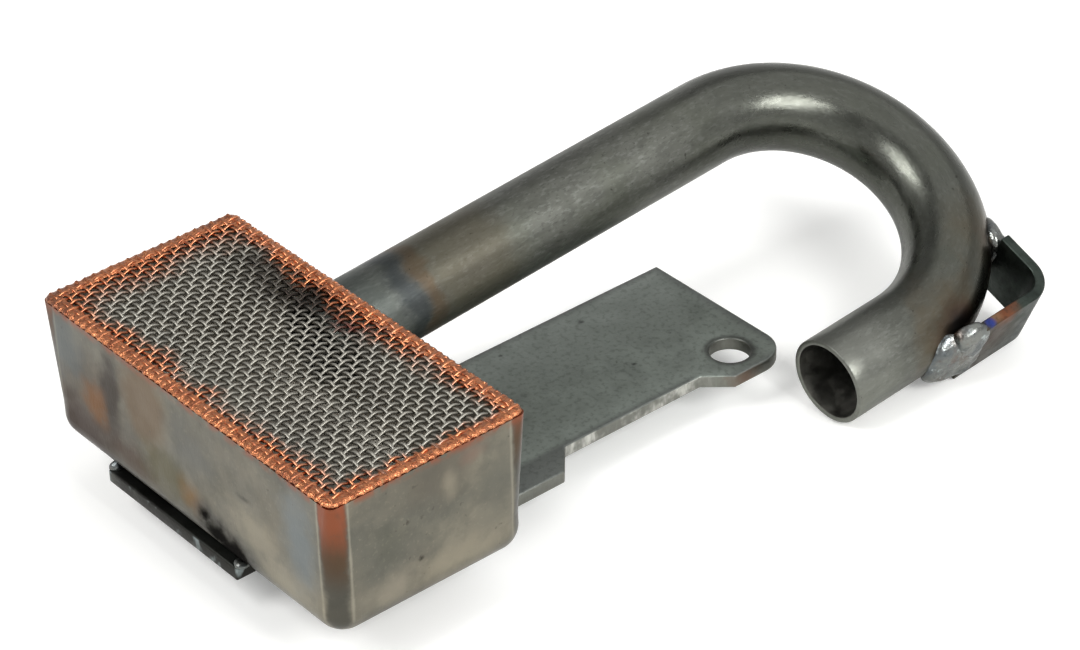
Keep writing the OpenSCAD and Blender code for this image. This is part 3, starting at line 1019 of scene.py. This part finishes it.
@dataclass
class PickupTube:
    """The bent tube, drawn in its bend's own frame: the bend about +Z, both legs towards -Y."""

    radius: float = 9.5
    wall: float = 1.2
    start: Point = (-36.0, -73.5, 19.8)
    pitch: float = 4.4
    lean: float = 0.8
    drop: float = 24.5
    leg: float = 100.0
    inside: float = 6.0
    bend: float = 32.0
    outlet: float = 21.4
    sides: int = 72
    turns: int = 80
    leg_steps: int = 20
    outlet_steps: int = 5
    lip: float = 0.22

    def at_wall(self) -> Matrix:
        """Gives the frame on the rear wall, with +Y along the long leg."""
        tilt = Matrix.Rotation(math.radians(self.lean), 4, "Z") @ Matrix.Rotation(math.radians(self.pitch), 4, "X")
        return Matrix.Translation(self.start) @ tilt

    def at_bend(self) -> Matrix:
        """Gives the bend's frame, with its centre as the origin and the outlet leg on the +X side."""
        roll = Matrix.Rotation(math.radians(self.drop), 4, "Y")
        return self.at_wall() @ Matrix.Translation((0, self.leg, 0)) @ roll @ Matrix.Translation((self.bend, 0, 0))

    def unbent(self, place: Vector) -> Vector:
        """Straightens the tube.

        Args:
            place: Point in the bend's frame.

        Returns:
            The point with X and Z across the tube and Y along it from the rear wall.
        """
        if place.y > 0:
            angle = math.pi - math.atan2(place.y, place.x)
            return Vector((self.bend - math.hypot(place.x, place.y), self.leg + self.bend * angle, place.z))
        if place.x < 0:
            return Vector((place.x + self.bend, self.leg + place.y, place.z))
        return Vector((self.bend - place.x, self.leg + math.pi * self.bend - place.y, place.z))

    def build(self, finish: DrawnTube) -> None:
        """Extrudes the legs, spins the bend and gives the tube its wall.

        Args:
            finish: Finish of the outside.
        """
        bm = bmesh.new()
        ring_at = Matrix.Translation((-self.bend, -self.leg - self.inside, 0)) @ Matrix.Rotation(math.pi / 2, 4, "X")
        bmesh.ops.create_circle(bm, segments=self.sides, radius=self.radius, matrix=ring_at)
        ring = bm.edges[:]
        for _ in range(self.leg_steps):
            ring = self.push(bm, ring, (0, (self.leg + self.inside) / self.leg_steps, 0))
        geom = ring + list({v for e in ring for v in e.verts})
        spun = bmesh.ops.spin(bm, geom=geom, cent=(0, 0, 0), axis=(0, 0, 1), angle=-math.pi, steps=self.turns)
        ring = [g for g in spun["geom_last"] if isinstance(g, bmesh.types.BMEdge)]
        for _ in range(self.outlet_steps):
            ring = self.push(bm, ring, (0, -self.outlet / self.outlet_steps, 0))
        straight = bm.verts.layers.float_vector.new("unbent")
        for vert in bm.verts:
            vert[straight] = self.unbent(vert.co)
        mesh = finished(bm, "bent_tube", self.at_bend(), ROUND)
        piece = show("bent_tube", mesh, [finish, TubeBore()], "pickup_tube")
        wall = piece.modifiers.new("wall", "SOLIDIFY")
        wall.thickness = self.wall * MM
        wall.offset = -1.0
        wall.use_even_offset = True
        wall.material_offset = 1
        lip = piece.modifiers.new("lip", "BEVEL")
        lip.width = self.lip * MM
        lip.segments = 2
        lip.limit_method = "ANGLE"
        lip.angle_limit = math.radians(50)

    @staticmethod
    def push(bm: bmesh.types.BMesh, ring: list[bmesh.types.BMEdge], step: Point) -> list[bmesh.types.BMEdge]:
        """Extrudes a ring of edges by one step.

        Args:
            bm: Mesh that the ring is in.
            ring: Its edges.
            step: How far it goes, in millimetres.

        Returns:
            The edges of the new ring.
        """
        made = bmesh.ops.extrude_edge_only(bm, edges=ring)["geom"]
        verts = {g for g in made if isinstance(g, bmesh.types.BMVert)}
        bmesh.ops.translate(bm, verts=list(verts), vec=step)
        return [g for g in made if isinstance(g, bmesh.types.BMEdge) and set(g.verts) <= verts]


def slab(outline: Sequence[tuple[float, float]], rounds: dict[int, float], depth: float) -> bmesh.types.BMesh:
    """Cuts a flat piece from sheet.

    Args:
        outline: Corners in order, in millimetres.
        rounds: Corner number to the radius that it is rounded by.
        depth: Thickness, from -depth to 0.

    Returns:
        The piece as a closed bmesh.
    """
    bm = bmesh.new()
    corners = [bm.verts.new((x, y, -depth)) for x, y in outline]
    bm.faces.new(corners)
    for number, radius in rounds.items():
        bmesh.ops.bevel(
            bm, geom=[corners[number]], offset=radius, affect="VERTICES", segments=12, profile=0.5, material=-1
        )
    made = bmesh.ops.extrude_face_region(bm, geom=bm.faces[:])["geom"]
    bmesh.ops.translate(bm, verts=[g for g in made if isinstance(g, bmesh.types.BMVert)], vec=(0, 0, depth))
    return bm


def soften(bm: bmesh.types.BMesh, width: float, angle: float = 40.0) -> None:
    """Rounds the sharp edges of a piece a little, as cutting and handling leave them.

    Args:
        bm: Closed mesh in millimetres.
        width: Width of the rounding.
        angle: Angle in degrees past which an edge counts as sharp.
    """
    bmesh.ops.recalc_face_normals(bm, faces=bm.faces)
    sharp = [e for e in bm.edges if len(e.link_faces) == 2 and e.calc_face_angle() > math.radians(angle)]
    bmesh.ops.bevel(bm, geom=sharp, offset=width, affect="EDGES", segments=3, profile=0.5, material=-1)


@dataclass
class MountingPlate:
    """Flat plate under the box, with its tab, arm, notch and bolt lug."""

    thick: float = 3.0
    lug_round: float = 7.0
    hole: float = 4.35
    broken: float = 0.45
    outline: tuple[tuple[float, float], ...] = (
        (-51.9, -120.1),
        (-8.7, -120.1),
        (-8.7, -110.3),
        (9.2, -83.3),
        (9.2, -52.9),
        (2.9, -47.4),
        (2.9, -11.0),
        (7.7, -5.5),
        (7.7, 10.0),
        (-34.0, 10.0),
        (-34.0, -83.3),
        (-51.9, -110.3),
    )
    lug_corner: int = 8
    finish: PlateSteel = PlateSteel()

    def build(self) -> None:
        """Cuts the plate, drills its hole and breaks its edges."""
        bm = slab(self.outline, {self.lug_corner: self.lug_round}, self.thick)
        flats = [f for f in bm.faces if abs(f.normal.z) > 0.9]
        rims = list({e for f in flats for e in f.edges})
        bmesh.ops.delete(bm, geom=flats, context="FACES_ONLY")
        bores = []
        for level in (-self.thick, 0.0):
            at_level = Matrix.Translation((0, 0, level))
            drilled = bmesh.ops.create_circle(bm, segments=64, radius=self.hole, matrix=at_level)
            bore = list({e for v in drilled["verts"] for e in v.link_edges})
            outer = [e for e in rims if all(abs(v.co.z - level) < NEAR for v in e.verts)]
            bmesh.ops.triangle_fill(bm, use_beauty=True, edges=outer + bore)
            bores += bore
        bmesh.ops.bridge_loops(bm, edges=bores)
        soften(bm, self.broken)
        show("mounting_plate_cut", finished(bm, "mounting_plate_cut"), [self.finish], "mounting_plate")


@dataclass
class Strap:
    """Flat bar on edge outside the bend, drawn in the bend's frame."""

    tube: PickupTube
    width: float = 16.0
    thick: float = 2.3
    inner: tuple[float, float] = (41.555, 30.225)
    start: float = 28.52
    end: float = 7.6
    inside_round: float = 4.4
    melted: float = 4.5
    broken: float = 0.35

    def heats(self) -> tuple[Tint, ...]:
        """Places the heat colours along the near leg's top edge and beside its weld.

        Returns:
            The tints, in the part's frame.
        """
        at_bend = self.tube.at_bend()
        mid, top = self.inner[0] + self.thick / 2, self.width / 2
        spread = (
            ("#453d30", 0.8, (mid, 11.0, 0.0), 8, 18, 4.0),
            ("#4a3a30", 0.7, (mid + 1.2, 15.5, 2.0), 1.5, 6, 2.0),
            ("#7c4a33", 0.75, (mid - 0.8, 18.0, top), 1.5, 6, 2.0),
            ("#98785c", 0.5, (mid - 0.8, 15.0, top), 0.6, 2.6, 0.8),
            ("#2f3f86", 0.85, (mid, 13.0, top), 0.6, 2.0, 0.6),
        )
        return tuple(
            Tint(code, share, Patch(tuple(at_bend @ Vector(place)), full, gone, ragged=ragged, fray=3.0))
            for code, share, place, full, gone, ragged in spread
        )

    def build(self) -> None:
        """Bends the bar, melts the corner at its weld and breaks its edges."""
        (x, y), t = self.inner, self.thick
        outline = ((self.start, y), (x, y), (x, self.end), (x + t, self.end), (x + t, y + t), (self.start, y + t))
        bm = slab(outline, {1: self.inside_round, 4: self.inside_round + t}, self.width)
        top = self.width / 2
        bmesh.ops.translate(bm, verts=bm.verts, vec=(0, 0, top))
        tip = [e for e in bm.edges if all(v.co.y < self.end + NEAR and v.co.z > top - NEAR for v in e.verts)]
        bmesh.ops.bevel(bm, geom=tip, offset=self.melted, affect="EDGES", segments=8, profile=0.5, material=-1)
        soften(bm, self.broken)
        show("strap_bent", finished(bm, "strap_bent", self.tube.at_bend()), [StrapBar(heats=self.heats())], "strap")


@dataclass
class Welds:
    """Weld beads at the rear wall and the strap, and the two tacks on the tab.

    The back weld's shore is the upper half of one that is the same below the bend's plane.
    """

    tube: PickupTube
    back_shore: tuple[Point, ...] = (
        (30.2, 33.2, 7.4),
        (29.4, 29.4, 8.4),
        (25.6, 28.0, 7.6),
        (26.4, 33.8, 4.5),
        (20.3, 36.0, 3.0),
        (20.0, 33.5, 6.0),
    )
    end_shore: tuple[Point, ...] = (
        (38.6, 0.4, 6.4),
        (41.9, -0.6, 3.2),
        (42.2, -2.2, -1.0),
        (41.7, -3.0, -3.8),
        (39.8, 0.6, -7.2),
        (44.6, 8.4, 5.8),
        (40.6, 8.0, 7.4),
        (44.5, 13.2, 2.0),
        (44.6, 13.4, -3.0),
        (44.9, 10.5, -6.8),
        (44.6, 5.5, -6.2),
        (42.8, 6.8, -8.2),
        (37.6, 4.0, -7.8),
        (37.6, 4.0, 6.8),
    )
    tip_shore: tuple[Point, ...] = (
        (44.3, 12.8, 6.2),
        (44.4, 5.6, 6.2),
        (43.2, 13.2, 9.0),
        (41.2, 12.8, 8.6),
        (39.2, 4.4, 8.6),
        (42.6, 3.8, 8.6),
        (44.5, 13.2, -1.0),
        (44.5, 6.0, -1.0),
        (40.4, 11.2, 3.0),
        (39.0, 4.4, 2.0),
    )
    # Name, middle, half sizes and CAD node of each tack.
    tacks: tuple[tuple[str, Point, Point, str], ...] = (
        ("tack_left", (-51.3, -118.2, 0.2), (1.2, 1.6, 1.5), "plate_tack_left"),
        ("tack_right", (-9.4, -118.0, 0.0), (1.6, 1.8, 0.9), "plate_tack_right"),
    )
    # Size and height of the lumps in the strap's welds.
    lumps: tuple[tuple[float, float], ...] = ((4.5, 0.55), (2.0, 0.25))
    rounds: int = 2
    smooths: int = 3
    ring_points: int = 240
    ring_bead: float = 1.6
    ring_off: float = 0.35
    ring_back: float = 0.3
    ripples: int = 15
    finish: WeldBead = WeldBead()

    def ring(self) -> None:
        """Lays the rippled ring round the tube at the rear wall."""
        bead = Bead(closed=True)
        reach = self.tube.radius + self.ring_off
        for i in range(self.ring_points):
            angle = 2 * math.pi * i / self.ring_points
            ripple = abs(math.sin(angle * self.ripples))
            swell = 0.92 + 0.08 * ripple + 0.1 * noise.noise(Vector((angle * 3, 0, 4)))
            place = Vector((reach * math.cos(angle), self.ring_back, reach * math.sin(angle)))
            bead.put(place, self.ring_bead * swell)
        bm = draw_beads("ring", [bead], sides=14)
        roughen(bm, size=2.2, height=0.3)
        show("wall_weld", finished(bm, "wall_weld", self.tube.at_wall(), ROUND), [self.finish], "tube_weld")

    def puddle(self, name: str, node: str, *shores: Sequence[Point]) -> None:
        """Lets weld metal fill the space between points, one lump after the other, and set smooth.

        Args:
            name: Name of the piece.
            node: CAD node that the piece stands for.
            shores: Points that the metal of each lump reaches to, in the bend's frame.
        """
        bm = bmesh.new()
        for shore in shores:
            bmesh.ops.convex_hull(bm, input=[bm.verts.new(point) for point in shore])
            bmesh.ops.delete(bm, geom=[v for v in bm.verts if not v.link_faces], context="VERTS")
        for _ in range(self.rounds):
            bmesh.ops.subdivide_edges(bm, edges=bm.edges, cuts=2, use_grid_fill=True)
            bmesh.ops.triangulate(bm, faces=bm.faces)
            for _ in range(self.smooths):
                bmesh.ops.smooth_vert(bm, verts=bm.verts, factor=0.5, use_axis_x=True, use_axis_y=True, use_axis_z=True)
        for size, height in self.lumps:
            roughen(bm, size, height, seed=len(name))
        show(name, finished(bm, name, self.tube.at_bend(), ROUND), [self.finish], node)

    def tack(self, name: str, middle: Point, half: Point, node: str) -> None:
        """Sets one drop of weld metal.

        Args:
            name: Name of the piece.
            middle: Its middle.
            half: Its half sizes.
            node: CAD node that the piece stands for.
        """
        bm = bmesh.new()
        spread = Matrix.Translation(middle) @ Matrix.Diagonal((*half, 1.0))
        bmesh.ops.create_icosphere(bm, subdivisions=4, radius=1.0, matrix=spread)
        roughen(bm, size=1.6, height=0.3, seed=len(name))
        show(name, finished(bm, name, sharp=ROUND), [self.finish], node)

    def build(self) -> None:
        """Makes all the welds."""
        self.ring()
        both_sides = [(x, y, side * z) for x, y, z in self.back_shore for side in (1, -1)]
        self.puddle("strap_back_weld", "strap_weld_back", both_sides)
        self.puddle("strap_end_weld", "strap_weld_end", self.end_shore, self.tip_shore)
        for tack in self.tacks:
            self.tack(*tack)


@dataclass
class Studio:
    """Pale floor, soft lamps and a camera where the photograph was taken from."""

    eye: Point = (439.9, -411.4, 414.1)
    ahead: Point = (-0.64047, 0.52519, -0.56034)
    right: Point = (0.64516, 0.76374, -0.02159)
    lens: float = 117.4
    paper: str = "#f6f6f4"
    fibres: Tint = Tint("#f2f2ef", 0.5, Clouds(60))
    glow: float = 0.2
    floor_half: float = 6.0
    horizon: float = 0.9
    overhead: float = 0.32
    middle: Point = (-0.02, -0.03, 0.01)
    # Name, place from the middle and size in metres, and power in watts of each lamp.
    lamps: tuple[tuple[str, Point, float, float], ...] = (
        ("right_box", (0.8, 0.07, 0.62), 0.4, 6.8),
        ("front_box", (-0.1, -0.7, 0.8), 0.48, 6.6),
        ("over_box", (0.1, 0.5, 1.05), 1.35, 4.6),
    )

    def lay_floor(self, level: float) -> None:
        """Lays the floor, which the camera sees as white paper.

        Args:
            level: Height of the floor in metres.
        """
        bm = bmesh.new()
        at_level = Matrix.Translation((0, 0, level))
        bmesh.ops.create_grid(bm, x_segments=2, y_segments=2, size=self.floor_half, matrix=at_level)
        mesh = bpy.data.meshes.new("paper_floor")
        bm.to_mesh(mesh)
        bm.free()
        s = Surface("matt_white_paper")
        s.tree.links.new(s.stain(self.paper, (self.fibres,)), s.shader.inputs["Base Color"])
        s.shader.inputs["Roughness"].default_value = 0.9
        s.shader.inputs["Specular IOR Level"].default_value = 0.1
        s.shader.inputs["Emission Color"].default_value = (1.0, 1.0, 1.0, 1.0)
        seen = add(s.tree, "ShaderNodeLightPath").outputs["Is Camera Ray"]
        s.tree.links.new(s.mask(seen, self.glow), s.shader.inputs["Emission Strength"])
        mesh.materials.append(s.material)
        floor = bpy.data.objects.new("paper_floor", mesh)
        bpy.context.scene.collection.objects.link(floor)
        floor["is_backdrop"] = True

    def light(self) -> None:
        """Hangs the lamps and sets the studio's air, pale at the horizon and dim overhead."""
        for name, place, size, power in self.lamps:
            lamp = bpy.data.lights.new(name, "AREA")
            lamp.shape = "SQUARE"
            lamp.size = size
            lamp.energy = power
            hung = bpy.data.objects.new(name, lamp)
            hung.location = Vector(self.middle) + Vector(place)
            hung.rotation_euler = (-Vector(place)).to_track_quat("-Z", "Y").to_euler()
            bpy.context.scene.collection.objects.link(hung)
        world = bpy.data.worlds.new("studio_air")
        world.use_nodes = True
        tree = world.node_tree
        coords = add(tree, "ShaderNodeTexCoord")
        axes = add(tree, "ShaderNodeSeparateXYZ", {0: coords.outputs["Generated"]})
        feeds = {"Value": axes.outputs[2], "From Max": 0.8, "To Min": self.horizon, "To Max": self.overhead}
        fade = add(tree, "ShaderNodeMapRange", feeds, interpolation_type="SMOOTHSTEP")
        tree.links.new(fade.outputs[0], tree.nodes["Background"].inputs["Strength"])
        tree.nodes["Background"].inputs["Color"].default_value = (1.0, 1.0, 1.0, 1.0)
        bpy.context.scene.world = world

    def set_camera(self) -> None:
        """Sets the camera."""
        data = bpy.data.cameras.new("photo_camera")
        data.lens = self.lens
        data.sensor_width = 36.0
        data.clip_start, data.clip_end = 0.01, 50.0
        camera = bpy.data.objects.new("photo_camera", data)
        back = -Vector(self.ahead).normalized()
        up = back.cross(Vector(self.right)).normalized()
        turn = Matrix((up.cross(back), up, back)).transposed().to_4x4()
        camera.matrix_world = Matrix.Translation(Vector(self.eye) * MM) @ turn
        bpy.context.scene.collection.objects.link(camera)
        bpy.context.scene.camera = camera

    def build(self, level: float) -> None:
        """Sets up the floor, the light, the camera and the view.

        Args:
            level: Height of the floor in metres.
        """
        self.set_camera()
        self.lay_floor(level)
        self.light()
        bpy.context.scene.view_settings.view_transform = "Standard"


def scorches_and_shade(tube: PickupTube) -> tuple[Tint, ...]:
    """Places the heat colours that the strap's welds leave on the tube, and painted shade where the tube meets the
    strap.

    Args:
        tube: Tube that carries them.

    Returns:
        The tints, in the part's frame.
    """
    at_bend = tube.at_bend()
    found = []
    for place, share in (((28.0, 30.5, 3.0), 0.7), ((39.0, 8.0, 4.0), 1.0)):
        centre = tuple(at_bend @ Vector(place))
        found.append(Tint("#5b4c36", 0.55 * share, Patch(centre, 7, 20, ragged=6)))
        found.append(Tint("#4a322c", 0.6 * share, Patch(centre, 4, 11, ragged=4)))
        # The dark core, where the tube meets the strap, is painted shade.
        found.append(Tint("#262a2c", 0.75 * share, Patch(centre, 2.5, 7, ragged=2)))
    return tuple(found)


def main() -> None:
    """Builds the studio on a floor under the solids, and every piece in order."""
    logging.basicConfig(level=logging.INFO, format="%(message)s")
    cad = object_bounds()
    Studio().build(cad[0].z - FLOOR_GAP)
    box = StrainerBox()
    box.dress()
    screen = WovenScreen(box)
    screen.build()
    RimBraze(box, screen).build()
    tube = PickupTube()
    tube.build(DrawnTube(scorches_and_shade=scorches_and_shade(tube)))
    MountingPlate().build()
    Strap(tube).build()
    Welds(tube).build()


if __name__ == "__main__":
    main()
